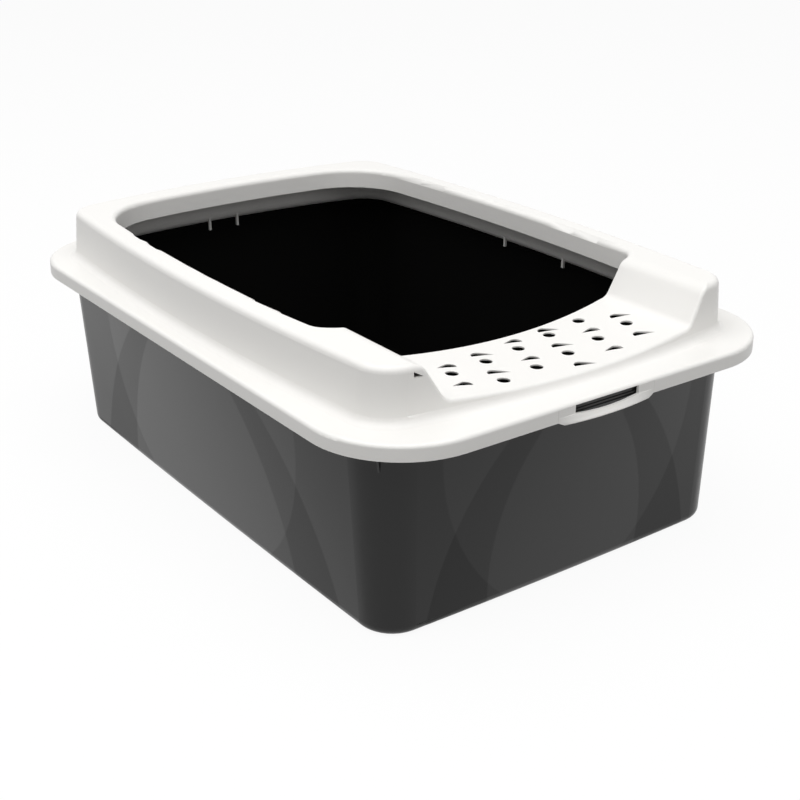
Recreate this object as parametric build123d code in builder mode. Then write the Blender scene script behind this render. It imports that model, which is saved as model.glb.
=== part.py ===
from build123d import *
import os

os.makedirs("parts", exist_ok=True)

# A rimmed litter tray: a deep pan, a clip-on rim with a raised hollow collar,
# a low perforated step at the entrance, and a flexing latch flap at each end.
# Millimetres. Z is up, the base rests on z = 0 and the entrance faces -Y.

# Pan
pan_wall = 2.5
pan_floor = 2.5
pan_height = 162.8
pan_draft_end = 14.1
pan_draft_side = 13.7
base_bow_side = 1.4
base_bow_end = 1.8
base_corner = 29.0
base_edge_radius = 8.0
mouth_bow_side = 14.0
mouth_bow_end = 18.5
mouth_corner = 38.0
mouth_shift = 3.0
lip_thickness = 2.4
lip_turn_down = 5.0
lip_gap = 1.4
mouth_edge_radius = 0.9

# Rim: flange and skirt
rim_wall = 2.2
seat_gap = 0.4
skirt_half_length = 286.0
skirt_half_width = 200.0
skirt_corner = 74.0
skirt_height = 12.0
skirt_round = 3.0

# Rim: hollow collar. It stands set back inside the pan's mouth.
collar_height = 41.4
ledge_end = 22.5
ledge_side = 17.8
collar_set_back = 3.4
collar_lean_side = 3.1
collar_lean_end = 1.7
collar_corner = 29.0
collar_foot_radius = 6.5
collar_edge_radius = 5.2
inner_edge_radius = 4.5
collar_width_side = 20.9
collar_width_end = 23.6
inner_corner = 63.5
inner_bow_side = 13.0
inner_bow_end = 15.5
inner_lip_drop = 18.8
inner_shift = -0.4
collar_top_shift = 2.2

# Entrance
entry_floor_height = 6.7
entry_floor_crown = 5.3
entry_lean = 17.6
entry_head_inset = 3.0
entry_head_radius = 14.0
entry_foot_radius = 9.0
entry_lip_radius = 2.6
step_depth = 87.0
step_edge_bow = 12.8
step_edge_inset = 4.0
step_edge_radius = 40.0
wing_depth = 100.2
wing_reach = 20.2
wing_slope = 0.85
wing_corner = 16.0
wing_tip_radius = 26.0
step_seam = 3.6
step_side_inset = 9.4

# Holes in the step
hole_radius = 4.9
hole_land = 1.0
hole_relief = 2.0
hole_margin_left = 26.4
hole_margin_right = 3.6
hole_start_depth = 48.4
hole_pitch_y = 7.35
hole_row_x = 23.7
hole_row_y = 28.7
slot_half_long = 8.8
slot_half_short = 7.7
slot_hump = 7.2
slot_hollow = 0.4
slot_turn = 17.0
slot_above_x = 4.3
slot_above_y = 11.3
slot_below_x = 8.1
slot_below_y = 22.9
slot_long_x = 1.4
slot_long_y = 1.0
slot_second_x = 1.6
slot_second_y = 1.2
slot_edge_shift = 4.2

# Notch in the left wing's front wall
notch_width = 7.2
notch_height = 4.3
notch_setback = 3.7
notch_below_top = 9.2
notch_point_drop = 4.1
notch_reach = 40.0

# Latch flaps
latch_half_width = 46.2
latch_seam = 0.12
window_half_width = 30.5
window_drop = 8.6
window_dip = 1.6
bar_drop = 2.9
bar_bulge_top = 0.8
bar_bulge_middle = 2.8
bar_bulge_low = 4.0
bar_flare = 0.8
bar_end_inset = 6.0
bar_edge_radius = 0.7
lug_gap = 0.4
lug_side_gap = 0.8
lug_depth = 2.2
lug_step = 0.8
lug_step_height = 1.4

# Locating pegs under the collar wall
peg_width = 2.4
peg_depth = 2.2
peg_length_end = 7.0
peg_length_side = 4.0
peg_gap = 1.2
peg_root = 6.0
peg_half_pitch_end = 15.6
peg_half_pitch_side = 40.8

# How far a cutting solid runs past what it cuts
cut_margin = 30.0
cut_clear = 1.0
valley_overrun = 12.0

# Heights and outlines that follow from the sizes above
flange_under = pan_height + seat_gap
flange_top = flange_under + rim_wall
skirt_bottom = flange_top - skirt_height
collar_top = flange_top + collar_height
entry_floor = flange_top + entry_floor_height
entry_side_foot = entry_floor + entry_floor_crown
collar_half_length = skirt_half_length - ledge_end
collar_half_width = skirt_half_width - ledge_side
mouth_half_length = collar_half_length - rim_wall + collar_set_back
mouth_half_width = collar_half_width - rim_wall + collar_set_back
base_half_length = mouth_half_length - pan_draft_end
base_half_width = mouth_half_width - pan_draft_side
lip_half_length = skirt_half_length - rim_wall - lip_gap
lip_half_width = skirt_half_width - rim_wall - lip_gap
lip_corner = skirt_corner - rim_wall - lip_gap
inner_half_length = collar_half_length - collar_lean_end - collar_width_end
inner_half_width = collar_half_width - collar_lean_side - collar_width_side
front_y = mouth_shift - collar_half_length
step_edge_y = front_y + step_depth
wing_y = front_y + wing_depth
wing_half_gap = inner_half_width - wing_reach
entry_half_head = wing_half_gap - entry_head_inset
entry_half_foot = entry_half_head - entry_lean
step_edge_half = entry_half_foot - step_edge_inset
step_half_width = entry_half_foot - step_side_inset
hole_columns = 5
hole_start_x = hole_margin_left - step_half_width
hole_start_y = front_y + hole_start_depth
hole_pitch_x = (2 * step_half_width - hole_margin_left - hole_margin_right) / hole_columns
notch_side = wing_half_gap + notch_setback
cut_high = collar_top + cut_margin
window_low = flange_top - window_drop
lug_face = skirt_half_length - rim_wall - lug_gap
lug_back = lug_face - lug_step - lug_depth


def bowed_outline(half_length, half_width, bow_side, bow_end, corner, shift=0.0):
    """A round-cornered rectangle whose four sides bow outwards."""
    corner_x = half_width - bow_side
    corner_y = half_length - bow_end
    for _ in range(4):
        corner_x = half_width - bow_side * (corner_y / half_length) ** 2
        corner_y = half_length - bow_end * (corner_x / half_width) ** 2
    with BuildSketch() as outline:
        with BuildLine():
            ThreePointArc((corner_x, -corner_y), (half_width, 0), (corner_x, corner_y))
            ThreePointArc((corner_x, corner_y), (0, half_length), (-corner_x, corner_y))
            ThreePointArc((-corner_x, corner_y), (-half_width, 0), (-corner_x, -corner_y))
            ThreePointArc((-corner_x, -corner_y), (0, -half_length), (corner_x, -corner_y))
        make_face()
        fillet(outline.vertices(), radius=corner)
    return Pos(0, shift, 0) * outline.sketch


def side_bow(bow, at, half):
    """How far a bowed side has fallen back at a distance from its middle."""
    return bow * (at / half) ** 2


def entry_outline(grow=0.0):
    """Front view of the entrance valley: crowned floor, leaning sides, round shoulders."""
    with BuildSketch() as valley:
        with BuildLine():
            foot = (entry_half_foot, entry_side_foot)
            head = (entry_half_head, collar_top)
            wide = entry_half_head + 2 * entry_head_radius
            ThreePointArc((-foot[0], foot[1]), (0, entry_floor), foot)
            Polyline(foot, head, (wide, collar_top), (wide, cut_high), (-wide, cut_high),
                     (-wide, collar_top), (-head[0], head[1]), (-foot[0], foot[1]))
        make_face()
        heads = valley.vertices().filter_by(lambda v: abs(abs(v.X) - entry_half_head) < 0.01)
        fillet(heads, radius=entry_head_radius)
        feet = valley.vertices().filter_by(lambda v: abs(abs(v.X) - entry_half_foot) < 0.01)
        fillet(feet, radius=entry_foot_radius)
        if grow > 0:
            offset(amount=grow)
    return valley.sketch


def opening_outline(grow=0.0):
    """Plan of the top opening: bowed sides and back, the wings and the step's inner edge."""
    with BuildSketch() as front:
        with BuildLine():
            far = skirt_half_width
            far_y = wing_y + wing_slope * (far - wing_half_gap)
            far_y -= grow * (1 + wing_slope ** 2) ** 0.5
            gap_y = wing_y - grow
            side = step_edge_half
            side_y = step_edge_y + step_edge_bow - grow
            ThreePointArc((-side, side_y), (0, step_edge_y - grow), (side, side_y))
            Polyline((side, side_y), (wing_half_gap, gap_y), (far, far_y),
                     (far, -skirt_half_length), (-far, -skirt_half_length),
                     (-far, far_y), (-wing_half_gap, gap_y), (-side, side_y))
        make_face()
        bends = front.vertices().filter_by(
            lambda v: v.Y > gap_y - 1.0 and abs(abs(v.X) - wing_half_gap) < 0.01)
        fillet(bends, radius=wing_tip_radius + grow)
        joins = front.vertices().filter_by(lambda v: abs(abs(v.X) - step_edge_half) < 0.01)
        fillet(joins, radius=step_edge_radius - grow)
    with BuildSketch() as opening:
        add(bowed_outline(inner_half_length + grow, inner_half_width + grow, inner_bow_side,
                          inner_bow_end, inner_corner + grow, inner_shift))
        add(front.sketch, mode=Mode.SUBTRACT)
        tips = opening.vertices().filter_by(
            lambda v: v.Y < 0 and abs(v.X) > wing_half_gap + wing_tip_radius / 2)
        fillet(tips, radius=wing_corner + grow)
    return opening.sketch


def rim_form(inset):
    """The rim as one solid form, drawn in by a distance on every side."""
    under = skirt_bottom if inset == 0 else skirt_bottom - cut_margin
    with BuildPart() as form:
        # flange and skirt
        with BuildSketch(Plane.XY.offset(under)):
            RectangleRounded(2 * (skirt_half_width - inset), 2 * (skirt_half_length - inset),
                             skirt_corner - inset)
        extrude(amount=flange_top - inset - under)
        # collar
        with BuildSketch(Plane.XY.offset(flange_top - inset)):
            add(bowed_outline(collar_half_length - inset, collar_half_width - inset,
                              mouth_bow_side, mouth_bow_end, collar_corner - inset,
                              mouth_shift))
        with BuildSketch(Plane.XY.offset(collar_top - inset)):
            add(bowed_outline(collar_half_length - collar_lean_end - inset,
                              collar_half_width - collar_lean_side - inset,
                              mouth_bow_side, mouth_bow_end, collar_corner - inset,
                              collar_top_shift))
        loft(ruled=True)
        plate = form.faces().filter_by_position(
            Axis.Z, flange_top - inset - 0.01, flange_top - inset + 0.01)[0]
        fillet(plate.inner_wires()[0].edges(), radius=collar_foot_radius + inset)
        plate = form.faces().filter_by_position(
            Axis.Z, flange_top - inset - 0.01, flange_top - inset + 0.01)[0]
        fillet(plate.outer_wire().edges(), radius=skirt_round - inset)
        # opening, left solid below the inner lip so that the form drawn in is its hollow
        low = skirt_bottom - cut_margin if inset == 0 else collar_top - inner_lip_drop
        with BuildSketch(Plane.XY.offset(low)):
            add(opening_outline(inset))
        extrude(amount=cut_high - low, mode=Mode.SUBTRACT)
        crown = form.faces().filter_by_position(
            Axis.Z, collar_top - inset - 0.01, collar_top - inset + 0.01)[0]
        fillet(crown.outer_wire().edges(), radius=collar_edge_radius - inset)
        crown = form.faces().filter_by_position(
            Axis.Z, collar_top - inset - 0.01, collar_top - inset + 0.01)[0]
        fillet(crown.inner_wires()[0].edges(), radius=inner_edge_radius - inset)
        # entrance valley
        with BuildSketch(Plane.XZ.offset(-wing_y - valley_overrun)):
            add(entry_outline(inset))
        extrude(amount=wing_y + valley_overrun + skirt_half_length, mode=Mode.SUBTRACT)
        if inset == 0:
            lip = form.edges().filter_by(
                lambda e: (e @ 0.5).Y < front_y + collar_width_end / 2
                and abs((e @ 0.5).X) < entry_half_head + entry_head_radius / 2
                and (e @ 0.5).Z > flange_top + collar_foot_radius)
            fillet(lip, radius=entry_lip_radius)
    return form


outer_form = rim_form(0)
inner_form = rim_form(rim_wall)

# Pan: drafted bowed walls, rounded base, out-turned lip with a turned-down edge
with BuildPart() as base_pan:
    with BuildSketch():
        add(bowed_outline(base_half_length, base_half_width, base_bow_side, base_bow_end,
                          base_corner))
    with BuildSketch(Plane.XY.offset(pan_height)):
        add(bowed_outline(mouth_half_length + pan_wall, mouth_half_width + pan_wall,
                          mouth_bow_side, mouth_bow_end, mouth_corner + pan_wall, mouth_shift))
    loft(ruled=True)
    fillet(base_pan.faces().sort_by(Axis.Z)[0].edges(), radius=base_edge_radius)
    # lip
    with BuildSketch(Plane.XY.offset(pan_height - lip_thickness)):
        RectangleRounded(2 * lip_half_width, 2 * lip_half_length, lip_corner)
    extrude(amount=lip_thickness)
    with BuildSketch(Plane.XY.offset(pan_height - lip_thickness - lip_turn_down)):
        RectangleRounded(2 * lip_half_width, 2 * lip_half_length, lip_corner)
        offset(amount=-lip_thickness, mode=Mode.SUBTRACT)
    extrude(amount=lip_turn_down + lip_thickness / 2)
    # hollow
    with BuildSketch(Plane.XY.offset(pan_floor)):
        add(bowed_outline(base_half_length - pan_wall, base_half_width - pan_wall,
                          base_bow_side, base_bow_end, base_corner - pan_wall))
    with BuildSketch(Plane.XY.offset(pan_height)):
        add(bowed_outline(mouth_half_length, mouth_half_width, mouth_bow_side, mouth_bow_end,
                          mouth_corner, mouth_shift))
    loft(ruled=True, mode=Mode.SUBTRACT)
    inside = base_pan.faces().filter_by_position(Axis.Z, pan_floor - 0.01, pan_floor + 0.01)
    fillet(inside.edges(), radius=base_edge_radius - pan_wall)
    rim_edge = base_pan.faces().sort_by(Axis.Z)[-1].inner_wires()[0].edges()
    fillet(rim_edge, radius=mouth_edge_radius)
    # latch lug at each end: an upright tongue with a stepped lower edge
    lug_half = window_half_width - lug_side_gap
    lug_low = window_low + lug_gap
    for end in (-1, 1):
        with Locations((0, end * (lug_back + lug_depth / 2), lug_low)):
            Box(2 * lug_half, lug_depth, pan_height - lug_low,
                align=(Align.CENTER, Align.CENTER, Align.MIN))
        with Locations((0, end * (lug_face - lug_depth / 2), lug_low)):
            Box(2 * lug_half, lug_depth, lug_step_height,
                align=(Align.CENTER, Align.CENTER, Align.MIN))
base_pan.part.label = "base_pan"

# Rim: the outer form less the hollow form
with BuildPart() as rim:
    add(outer_form.part)
    add(inner_form.part, mode=Mode.SUBTRACT)
    # locating pegs that hang from the collar wall inside the pan's mouth
    peg_low_side = flange_under - peg_length_side
    peg_low_end = flange_under - peg_length_end
    peg_out_x = mouth_half_width - peg_gap
    peg_out_y = mouth_half_length - peg_gap
    side_back = side_bow(mouth_bow_side, peg_half_pitch_side, mouth_half_length)
    for at_y in (-peg_half_pitch_side, peg_half_pitch_side):
        for side in (-1, 1):
            with Locations((side * (peg_out_x - side_back - peg_depth / 2),
                            at_y, peg_low_side)):
                Box(peg_depth, peg_width, peg_length_side + peg_root,
                    align=(Align.CENTER, Align.CENTER, Align.MIN))
    end_back = side_bow(mouth_bow_end, peg_half_pitch_end, mouth_half_width)
    for at_x in (-peg_half_pitch_end, peg_half_pitch_end):
        with Locations((at_x, mouth_shift + peg_out_y - end_back - peg_depth / 2, peg_low_end)):
            Box(peg_width, peg_depth, peg_length_end + peg_root,
                align=(Align.CENTER, Align.CENTER, Align.MIN))
    # places for the latch flaps, under the flange
    for end in (-1, 1):
        with Locations((0, end * (skirt_half_length - rim_wall / 2), skirt_bottom - bar_drop)):
            Box(2 * (latch_half_width + latch_seam), rim_wall + 2 * latch_seam,
                flange_under - skirt_bottom + bar_drop,
                align=(Align.CENTER, Align.CENTER, Align.MIN), mode=Mode.SUBTRACT)
    # small three-cornered notch in the left wing's front wall
    with BuildSketch(Plane.XZ.offset(-front_y)):
        with BuildLine():
            notch_top = collar_top - notch_below_top + notch_height
            Polyline((-notch_side, notch_top), (-notch_side + notch_width, notch_top - notch_point_drop),
                     (-notch_side, notch_top - notch_height), close=True)
        make_face()
    extrude(amount=-notch_reach, mode=Mode.SUBTRACT)

# Step plate zone, cut out of the rim so that the perforated plate is its own piece
with BuildPart() as step_zone:
    with BuildSketch(Plane.XY.offset(flange_top)):
        add(bowed_outline(collar_half_length - step_seam, collar_half_width - step_seam,
                          mouth_bow_side, mouth_bow_end, collar_corner - step_seam,
                          mouth_shift))
    extrude(amount=entry_head_radius + entry_floor_height)
    with Locations((0, wing_y - skirt_half_length, flange_top)):
        Box(2 * step_half_width, 2 * skirt_half_length, collar_height,
            align=(Align.CENTER, Align.CENTER, Align.MIN), mode=Mode.INTERSECT)

with BuildPart() as rim_frame:
    add(rim.part)
    add(step_zone.part, mode=Mode.SUBTRACT)
rim_frame.part.label = "rim_frame"


def floor_height(at_x):
    """Height of the crowned step floor at a distance from the middle."""
    return entry_floor + side_bow(entry_floor_crown, at_x, entry_half_foot)


def slot_outline(flip, grow=0.0):
    """A humped crescent slot with one long tail; flip puts the tail on the other side."""
    half = slot_half_short if flip > 0 else slot_half_long
    with BuildSketch() as slot:
        with BuildLine():
            tail = (-flip * half, 0)
            hump = (flip * half / 3, slot_hump)
            blunt = (flip * half, 0)
            ThreePointArc(tail, (-flip * half / 5, slot_hump * 0.66), hump)
            ThreePointArc(hump, (flip * half * 0.88, slot_hump * 0.7), blunt)
            ThreePointArc(blunt, (0, slot_hollow), tail)
        make_face()
        if grow > 0:
            offset(amount=grow)
    return slot.sketch


def slot_place(from_x, from_y, flip):
    """Where a slot stands, with its flip; the long kind stands a little further on."""
    if flip < 0:
        return (from_x + slot_long_x, from_y - slot_long_y, flip)
    return (from_x, from_y, flip)


round_places = []
slot_places = []
for column in range(hole_columns + 1):
    first_x = hole_start_x + column * hole_pitch_x
    first_y = hole_start_y + column * hole_pitch_y
    second_x = first_x + hole_row_x
    second_y = first_y - hole_row_y
    flip = 1 if column % 2 == 0 else -1
    slot_places.append(slot_place(first_x - slot_below_x, first_y - slot_below_y, flip))
    if column < hole_columns:
        round_places.append((first_x, first_y))
        round_places.append((second_x, second_y))
    if column < hole_columns - 1:
        # the last of these keeps clear of the step's inner edge
        above_y = slot_above_y - (slot_edge_shift if column == hole_columns - 2 else 0.0)
        slot_places.append(slot_place(first_x + slot_above_x, first_y + above_y, flip))
    if 1 < column < hole_columns:
        slot_places.append(slot_place(second_x - slot_below_x + slot_second_x,
                                      second_y - slot_below_y - slot_second_y, -flip))

# Perforated step plate; each hole is relieved from below and leaves a thin land on top
with BuildPart() as entry_step:
    add(rim.part)
    add(step_zone.part, mode=Mode.INTERSECT)
    for place_x, place_y in round_places:
        with BuildSketch(Plane.XY.offset(flange_top)):
            with Locations((place_x, place_y)):
                Circle(hole_radius)
        extrude(amount=collar_height, mode=Mode.SUBTRACT)
        with BuildSketch(Plane.XY.offset(floor_height(place_x) - hole_land)):
            with Locations((place_x, place_y)):
                Circle(hole_radius + hole_relief)
        extrude(amount=-rim_wall - cut_clear, mode=Mode.SUBTRACT)
    for place_x, place_y, flip in slot_places:
        with BuildSketch(Plane.XY.offset(flange_top)):
            with Locations(Location((place_x, place_y), -slot_turn)):
                add(slot_outline(flip))
        extrude(amount=collar_height, mode=Mode.SUBTRACT)
        with BuildSketch(Plane.XY.offset(floor_height(place_x) - hole_land)):
            with Locations(Location((place_x, place_y), -slot_turn)):
                add(slot_outline(flip, hole_relief))
        extrude(amount=-rim_wall - cut_clear, mode=Mode.SUBTRACT)
entry_step.part.label = "entry_step"

# Latch flap of the entrance end: two legs, and a flared finger bar under the window
with BuildPart() as front_latch:
    outer_y = -skirt_half_length
    bar_half = latch_half_width - bar_end_inset
    sections = (
        (window_low, latch_half_width, outer_y, bar_bulge_top),
        (skirt_bottom, latch_half_width, outer_y, bar_bulge_middle),
        (skirt_bottom - bar_drop, bar_half, outer_y - bar_flare, bar_bulge_low),
    )
    for upper, lower in zip(sections, sections[1:]):
        for height, half, face_y, bulge in (upper, lower):
            with BuildSketch(Plane.XY.offset(height)):
                with BuildLine():
                    ThreePointArc((-half, face_y), (0, face_y - bulge), (half, face_y))
                    Line((half, face_y), (half, face_y + rim_wall))
                    ThreePointArc((half, face_y + rim_wall), (0, face_y - bulge + rim_wall),
                                  (-half, face_y + rim_wall))
                    Line((-half, face_y + rim_wall), (-half, face_y))
                make_face()
        loft(ruled=True)
    fillet(front_latch.faces().sort_by(Axis.Z)[0].edges().filter_by(GeomType.CIRCLE),
           radius=bar_edge_radius)
    for side in (-1, 1):
        with Locations((side * (latch_half_width + window_half_width) / 2,
                        outer_y + rim_wall / 2, window_low)):
            Box(latch_half_width - window_half_width, rim_wall,
                flange_under - latch_seam - window_low,
                align=(Align.CENTER, Align.CENTER, Align.MIN))
    with BuildSketch(Plane.XZ.offset(skirt_half_length - 2 * rim_wall)):
        with BuildLine():
            ThreePointArc((-window_half_width, window_low), (0, window_low - window_dip),
                          (window_half_width, window_low))
            Line((window_half_width, window_low), (-window_half_width, window_low))
        make_face()
    extrude(amount=4 * rim_wall, mode=Mode.SUBTRACT)
front_latch.part.label = "front_latch"

# The far end has the same flap, turned about
with BuildPart() as back_latch:
    add(front_latch.part.rotate(Axis.Z, 180))
back_latch.part.label = "back_latch"

export_step(base_pan.part, "parts/base_pan.step")
export_step(rim_frame.part, "parts/rim_frame.step")
export_step(entry_step.part, "parts/entry_step.step")
export_step(front_latch.part, "parts/front_latch.step")
export_step(back_latch.part, "parts/back_latch.step")
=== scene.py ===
import math

import bpy
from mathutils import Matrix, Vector


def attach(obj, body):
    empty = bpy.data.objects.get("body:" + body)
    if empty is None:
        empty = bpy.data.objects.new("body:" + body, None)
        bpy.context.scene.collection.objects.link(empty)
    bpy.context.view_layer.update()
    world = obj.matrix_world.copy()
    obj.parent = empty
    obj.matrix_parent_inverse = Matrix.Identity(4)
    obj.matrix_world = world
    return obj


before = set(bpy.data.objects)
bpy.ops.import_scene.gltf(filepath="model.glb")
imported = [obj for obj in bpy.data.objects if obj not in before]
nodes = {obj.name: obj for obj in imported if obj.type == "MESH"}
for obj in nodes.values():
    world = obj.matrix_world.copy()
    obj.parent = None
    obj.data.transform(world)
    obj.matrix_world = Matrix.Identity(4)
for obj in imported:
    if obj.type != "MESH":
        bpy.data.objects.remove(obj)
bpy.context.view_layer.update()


# Camera. A medium lens stands off the tray's left front corner and looks down over
# the step into the pan, as for a catalogue picture.
mm = 0.001
camera_place = Vector((-627.2, -901.7, 534.1)) * mm
camera_azimuth = math.radians(-35.966)
camera_drop = math.radians(-23.383)
lens_length = 60.44
film_width = 36.0
nearest_seen = 0.05
farthest_seen = 40.0

camera_data = bpy.data.cameras.new("camera")
camera_data.lens = lens_length
camera_data.sensor_width = film_width
camera_data.sensor_fit = "HORIZONTAL"
camera_data.clip_start = nearest_seen
camera_data.clip_end = farthest_seen
camera = bpy.data.objects.new("camera", camera_data)
camera.location = camera_place
camera.rotation_euler = (math.pi / 2 + camera_drop, 0.0, camera_azimuth)
bpy.context.scene.collection.objects.link(camera)
bpy.context.scene.camera = camera


# Base pan. One deep dark polypropylene moulding with drafted walls. Sweeping bands of
# duller grain cross the soft sheen of its four walls. Its inside stays a deep black: faces that
# look inwards take the darker colour, painted shade for the deep well.
# The darker colour serves the grain bands and, on inward faces, is painted shade.
pan_band_and_painted_shade_black = (0.0052, 0.0052, 0.0050, 1.0)
pan_light = (0.0068, 0.0068, 0.0066, 1.0)
half_length_less_width = 81.0 * mm
# centre along the wall, centre height and radius of each arc, mirrored about the wall's middle
side_inner_arc = (-123.1 * mm, -42.4 * mm, 262.4 * mm)
side_outer_arc = (-90.8 * mm, -98.9 * mm, 304.9 * mm)
side_cross_arc = (-9.1 * mm, 128.1 * mm, 163.5 * mm)
end_inner_arc = (-116.2 * mm, 21.3 * mm, 192.3 * mm)
end_outer_arc = (-141.1 * mm, -46.1 * mm, 276.9 * mm)
end_cross_arc = (-58.2 * mm, 140.4 * mm, 180.0 * mm)
band_edge = 1.2 * mm
band_depth = 0.55
cross_depth = 0.45
corner_edge = 1.0 * mm
outward_edge = 0.02
level_middle = 0.7
level_edge = 0.3
pan_grain_scale = 1800.0
pan_grain_strength = 0.12
pan_grain_depth = 0.05 * mm
pan_cloud_scale = 14.0
pan_roughness = 0.34
pan_roughness_change = 0.05
sheen_least = 0.58
sheen_gain = 0.27
sheen_roughness = 0.2


class Socket:
    """An output socket that adds Math nodes when it is used in an expression."""

    def __init__(self, tree, link):
        self.tree = tree
        self.link = link

    def __add__(self, other):
        return self.tree.math("ADD", self, other)

    def __radd__(self, other):
        return self.tree.math("ADD", other, self)

    def __sub__(self, other):
        return self.tree.math("SUBTRACT", self, other)

    def __rsub__(self, other):
        return self.tree.math("SUBTRACT", other, self)

    def __mul__(self, other):
        return self.tree.math("MULTIPLY", self, other)

    def __rmul__(self, other):
        return self.tree.math("MULTIPLY", other, self)

    def __truediv__(self, other):
        return self.tree.math("DIVIDE", self, other)

    def __pow__(self, exponent):
        return self.tree.math("POWER", self, exponent)

    def __abs__(self):
        return self.tree.math("ABSOLUTE", self)

    def above(self, edge, softness):
        """0 below the edge and 1 above it, with a soft step between."""
        return self.tree.math("ADD", (self - edge) / softness, 0.5, clamp=True)


class NodeTree:
    """A node tree, built node by node."""

    def __init__(self, tree):
        self.nodes = tree.nodes
        self.links = tree.links

    def node(self, kind, settings=None, inputs=None, output=0):
        """Adds a node: its settings first, then the values or links of its sockets. It gives
        back one output socket, or a list of them where output is a tuple."""
        made = self.nodes.new(kind)
        for key, value in (settings or {}).items():
            setattr(made, key, value)
        for key, value in (inputs or {}).items():
            if isinstance(value, Socket):
                self.links.new(value.link, made.inputs[key])
            else:
                made.inputs[key].default_value = value
        if isinstance(output, tuple):
            return [Socket(self, made.outputs[key]) for key in output]
        return Socket(self, made.outputs[output]) if made.outputs else None

    def math(self, operation, *values, clamp=False):
        return self.node("ShaderNodeMath", {"operation": operation, "use_clamp": clamp},
                         dict(enumerate(values)))

    def split(self, vector):
        """The three numbers of a vector."""
        return self.node("ShaderNodeSeparateXYZ", inputs={0: vector}, output=(0, 1, 2))


class Finish(NodeTree):
    """A procedural material, or the sky, on a tree that starts empty."""

    def __init__(self, owner):
        owner.use_nodes = True
        super().__init__(owner.node_tree)
        self.nodes.clear()
        self.owner = owner

    def noise(self, place, scale, detail=2.0, roughness=0.5):
        return self.node("ShaderNodeTexNoise", {"noise_dimensions": "3D"},
                         {"Vector": place, "Scale": scale, "Detail": detail,
                          "Roughness": roughness}, output="Fac")

    def mix(self, share, first, second):
        """Mixes two colours."""
        return self.node("ShaderNodeMix", {"data_type": "RGBA"},
                         {0: share, 6: first, 7: second}, output=2)

    def blend(self, share, first, second):
        """Mixes two surfaces."""
        return self.node("ShaderNodeMixShader", inputs={0: share, 1: first, 2: second})

    def output(self, surface, kind="ShaderNodeOutputMaterial"):
        self.node(kind, inputs={"Surface": surface})
        return self.owner


def outside_arc(along, height, arc):
    """1 where a point of the wall lies outside an arc, 0 inside it."""
    centre, centre_height, radius = arc
    across = along - centre
    up = height - centre_height
    reach = (across * across + up * up) ** 0.5
    return reach.above(radius, band_edge)


def wall_tone(along, height, inner, outer, cross):
    """How much a wall's grain darkens it: the band between two arcs, and past the third."""
    from_middle = abs(along)
    past_inner = outside_arc(from_middle, height, inner)
    past_outer = outside_arc(from_middle, height, outer)
    past_cross = outside_arc(from_middle, height, cross)
    return (past_inner - past_outer) * band_depth + past_cross * cross_depth


def pan_finish():
    """The bands stay off level faces, and only faces that look outwards have a sheen. Faces that look
    inwards take the darker colour, painted shade for the pan's deep inside.
    """
    finish = Finish(bpy.data.materials.new("pan_plastic"))
    place = finish.node("ShaderNodeTexCoord", output="Object")
    x, y, z = finish.split(place)
    facing = finish.node("ShaderNodeNewGeometry", output="Normal")
    facing_x, facing_y, facing_z = finish.split(facing)
    outward = (x * facing_x + y * facing_y).above(0.0, outward_edge)
    upright = 1.0 - abs(facing_z).above(level_middle, level_edge)
    on_side = (abs(x) - abs(y) + half_length_less_width).above(0.0, corner_edge)
    side = wall_tone(y, z, side_inner_arc, side_outer_arc, side_cross_arc)
    end = wall_tone(x, z, end_inner_arc, end_outer_arc, end_cross_arc)
    tone = (side * on_side + end * (1.0 - on_side)) * upright
    # light is 1 off the bands on outward faces and 0 on inward faces, which is painted shade for the
    # pan's inside.
    light = (1.0 - tone) * outward
    grain = finish.noise(place, pan_grain_scale, detail=3.0, roughness=0.6)
    cloud = finish.noise(place, pan_cloud_scale)
    bump = finish.node("ShaderNodeBump", inputs={
        "Strength": pan_grain_strength,
        "Distance": pan_grain_depth,
        "Height": grain * outward,
    })
    surface = finish.node("ShaderNodeBsdfPrincipled", inputs={
        "Base Color": finish.mix(light, pan_band_and_painted_shade_black, pan_light),
        "Roughness": pan_roughness + pan_roughness_change * (cloud - 0.5),
        "Specular IOR Level": 0.0,
        "Coat Weight": (sheen_least + sheen_gain * light) * outward,
        "Coat Roughness": sheen_roughness,
        "Normal": bump,
    })
    return finish.output(surface)


pan_plastic = pan_finish()
nodes["base_pan"].data.materials[0] = pan_plastic


# Corner gussets. A thin rib stiffens the pan under its lip at each corner; only the foot
# of the near one shows below the skirt. One rib is set out at the four corners.
corner_reach_x = 165.2 * mm
corner_reach_y = 243.2 * mm
corner_shift = 2.4 * mm
gusset_foot = 132.5 * mm
gusset_head = 160.5 * mm
gusset_width = 1.6 * mm
gusset_bury = 0.8 * mm
gusset_toe = 0.5 * mm
gusset_reach = 13.0 * mm


def rib_mesh():
    """One upright rib: x runs out from the pan's corner, y is across the rib."""
    profile = ((-gusset_bury, gusset_foot), (gusset_toe, gusset_foot),
               (gusset_reach, gusset_head), (-gusset_bury, gusset_head))
    count = len(profile)
    points = [(out, side * gusset_width / 2, up) for side in (-1, 1) for out, up in profile]
    sides = [(k, (k + 1) % count, (k + 1) % count + count, k + count) for k in range(count)]
    ends = [tuple(range(count))[::-1], tuple(range(count, 2 * count))]
    mesh = bpy.data.meshes.new("rib")
    mesh.from_pydata(points, [], ends + sides)
    return mesh


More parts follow.
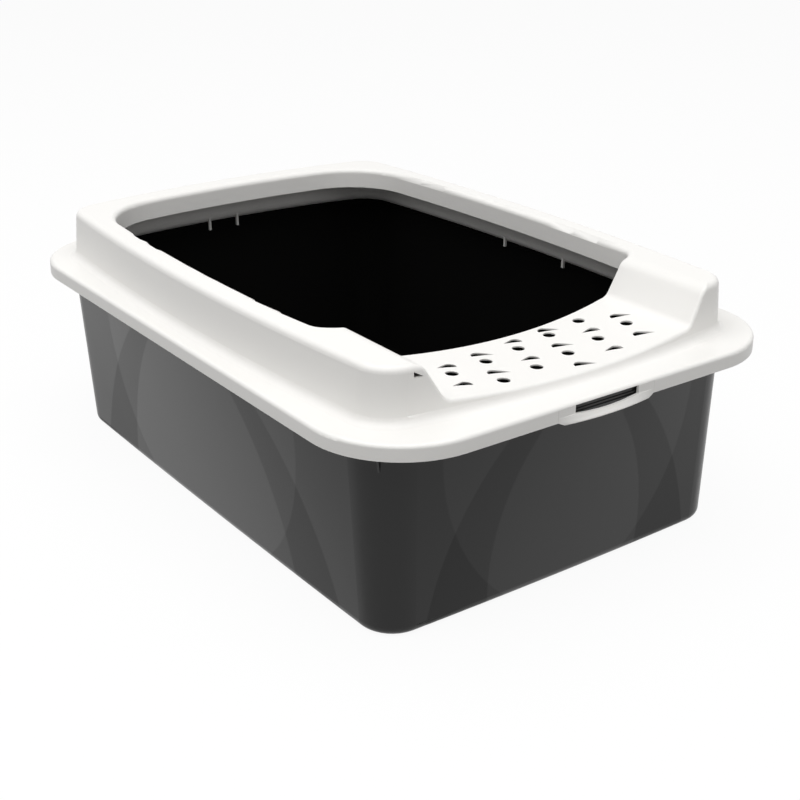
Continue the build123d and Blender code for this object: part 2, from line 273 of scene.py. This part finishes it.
def corner_tree():
    """Puts the input mesh at the four corners of a rectangle, each turned to face outwards."""
    group = bpy.data.node_groups.new("corner_gussets", "GeometryNodeTree")
    given = {"Rib": "NodeSocketGeometry", "Reach X": "NodeSocketFloat",
             "Reach Y": "NodeSocketFloat", "Shift": "NodeSocketFloat",
             "Finish": "NodeSocketMaterial"}
    for name, kind in given.items():
        group.interface.new_socket(name, in_out="INPUT", socket_type=kind)
    group.interface.new_socket("Result", in_out="OUTPUT", socket_type="NodeSocketGeometry")

    tree = NodeTree(group)
    rib, reach_x, reach_y, shift, finish = tree.node("NodeGroupInput", output=tuple(given))
    corners = tree.node("GeometryNodeMeshGrid", inputs={
        "Size X": reach_x * 2.0, "Size Y": reach_y * 2.0, "Vertices X": 2, "Vertices Y": 2})
    x, y, z = tree.split(tree.node("GeometryNodeInputPosition"))
    turn = tree.math("ARCTAN2", tree.math("SIGN", y), tree.math("SIGN", x))
    facing = tree.node("ShaderNodeCombineXYZ", inputs={"Z": turn})
    ribs = tree.node("GeometryNodeInstanceOnPoints", inputs={
        "Points": corners, "Instance": rib, "Rotation": facing})
    real = tree.node("GeometryNodeRealizeInstances", inputs={"Geometry": ribs})
    offset = tree.node("ShaderNodeCombineXYZ", inputs={"Y": shift})
    moved = tree.node("GeometryNodeSetPosition", inputs={"Geometry": real, "Offset": offset})
    finished = tree.node("GeometryNodeSetMaterial", inputs={
        "Geometry": moved, "Material": finish})
    tree.node("NodeGroupOutput", inputs={"Result": finished})
    return group


def spread(name, mesh, group, values):
    """Runs a node tree on a mesh with the given inputs and keeps the plain result."""
    source = bpy.data.objects.new(name + "_source", mesh)
    bpy.context.scene.collection.objects.link(source)
    modifier = source.modifiers.new("set_out", "NODES")
    modifier.node_group = group
    for item in group.interface.items_tree:
        if item.in_out == "INPUT" and item.name in values:
            modifier[item.identifier] = values[item.name]
    source.update_tag()
    depsgraph = bpy.context.evaluated_depsgraph_get()
    result = bpy.data.meshes.new_from_object(source.evaluated_get(depsgraph))
    bpy.data.objects.remove(source)
    made = bpy.data.objects.new(name, result)
    bpy.context.scene.collection.objects.link(made)
    return made


gussets = spread("corner_gussets", rib_mesh(), corner_tree(), {
    "Reach X": corner_reach_x,
    "Reach Y": corner_reach_y,
    "Shift": corner_shift,
    "Finish": pan_plastic,
})
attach(gussets, "pan")


# Rim frame. Flange, skirt and hollow collar are one white polypropylene moulding that
# clips over the pan's lip. It has a soft gloss and the faint waviness that such
# mouldings cool to.
rim_white = (0.868, 0.857, 0.834, 1.0)
rim_shade = (0.853, 0.841, 0.815, 1.0)
rim_gloss = 0.45
rim_roughness = 0.36
rim_roughness_change = 0.06
rim_grain_scale = 2400.0
rim_grain_strength = 0.08
rim_grain_depth = 0.04 * mm
rim_cloud_scale = 11.0


def rim_finish():
    finish = Finish(bpy.data.materials.new("rim_plastic"))
    place = finish.node("ShaderNodeTexCoord", output="Object")
    grain = finish.noise(place, rim_grain_scale, roughness=0.6)
    cloud = finish.noise(place, rim_cloud_scale)
    bump = finish.node("ShaderNodeBump", inputs={
        "Strength": rim_grain_strength,
        "Distance": rim_grain_depth,
        "Height": grain,
    })
    surface = finish.node("ShaderNodeBsdfPrincipled", inputs={
        "Base Color": finish.mix(cloud, rim_shade, rim_white),
        "Roughness": rim_roughness + rim_roughness_change * (cloud - 0.5),
        "Specular IOR Level": rim_gloss,
        "Normal": bump,
    })
    return finish.output(surface)


white_plastic = rim_finish()
nodes["rim_frame"].data.materials[0] = white_plastic


# Entrance step. The low pierced plate between the rim's two wings, moulded in one with
# them, shakes the litter from the animal's paws and lets it fall back into the pan.
nodes["entry_step"].data.materials[0] = white_plastic


# Latches. A springy flap at each end, moulded in one with the skirt. A finger pulls its
# bar outwards to free the lug of the pan that shows in its window.
for name in ("front_latch", "back_latch"):
    nodes[name].data.materials[0] = white_plastic


# Studio. A white floor under one broad soft box, with a weaker one towards the camera's
# right, so that tops are brightest and the long left wall stays in shade. The floor lies
# a hair below the pan, because two faces in one plane would flicker.
white = (1.0, 1.0, 1.0, 1.0)
floor_white = (0.97, 0.97, 0.97, 1.0)
floor_grey = (0.24, 0.24, 0.24, 1.0)
sky_grey = (0.37, 0.37, 0.37, 1.0)
shadow_hold = 0.93
floor_half = 6.0
floor_gap = 0.2 * mm
lamp_target = (0.0, 0.0, 0.1)
overhead_place = (-0.55, -0.3, 2.3)
overhead_size = 3.2
overhead_power = 63.0
front_place = (0.9, -2.4, 0.9)
front_size = 1.2
front_power = 3.0


def seen_share(finish):
    """1 for rays from the camera, a gloss or glass, 0 for those that only carry light."""
    seen, mirrored, through = finish.node("ShaderNodeLightPath", output=(
        "Is Camera Ray", "Is Glossy Ray", "Is Transmission Ray"))
    return finish.math("MINIMUM", seen + mirrored + through, 1.0)


def floor_finish():
    """White to the camera with a faint shadow, greyer in the light it throws back, and
    clear from beneath, so that the pan's underside can be seen."""
    finish = Finish(bpy.data.materials.new("studio_floor"))
    pale = finish.node("ShaderNodeBsdfDiffuse", inputs={"Color": floor_white})
    grey = finish.node("ShaderNodeBsdfDiffuse", inputs={"Color": floor_grey})
    glow = finish.node("ShaderNodeEmission", inputs={"Color": white, "Strength": 1.0})
    clear = finish.node("ShaderNodeBsdfTransparent")
    beneath = finish.node("ShaderNodeNewGeometry", output="Backfacing")
    lit = finish.blend(shadow_hold, pale, glow)
    above = finish.blend(seen_share(finish), grey, lit)
    return finish.output(finish.blend(beneath, above, clear))


def sky_finish():
    """White behind the floor, and grey in the light it gives."""
    finish = Finish(bpy.data.worlds.new("studio"))
    colour = finish.mix(seen_share(finish), sky_grey, white)
    background = finish.node("ShaderNodeBackground", inputs={"Color": colour})
    return finish.output(background, "ShaderNodeOutputWorld")


def soft_box(name, place, size, power):
    data = bpy.data.lights.new(name, "AREA")
    data.shape = "SQUARE"
    data.size = size
    data.energy = power
    lamp = bpy.data.objects.new(name, data)
    lamp.location = Vector(place)
    aim = Vector(lamp_target) - Vector(place)
    lamp.rotation_euler = aim.to_track_quat("-Z", "Y").to_euler()
    bpy.context.scene.collection.objects.link(lamp)


floor_mesh = bpy.data.meshes.new("floor")
floor_mesh.from_pydata([(-floor_half, -floor_half, -floor_gap), (floor_half, -floor_half, -floor_gap),
                        (floor_half, floor_half, -floor_gap), (-floor_half, floor_half, -floor_gap)],
                       [], [(0, 1, 2, 3)])
floor_mesh.materials.append(floor_finish())
floor = bpy.data.objects.new("floor", floor_mesh)
bpy.context.scene.collection.objects.link(floor)

bpy.context.scene.world = sky_finish()
soft_box("overhead", overhead_place, overhead_size, overhead_power)
soft_box("front", front_place, front_size, front_power)
bpy.context.scene.view_settings.view_transform = "Standard"
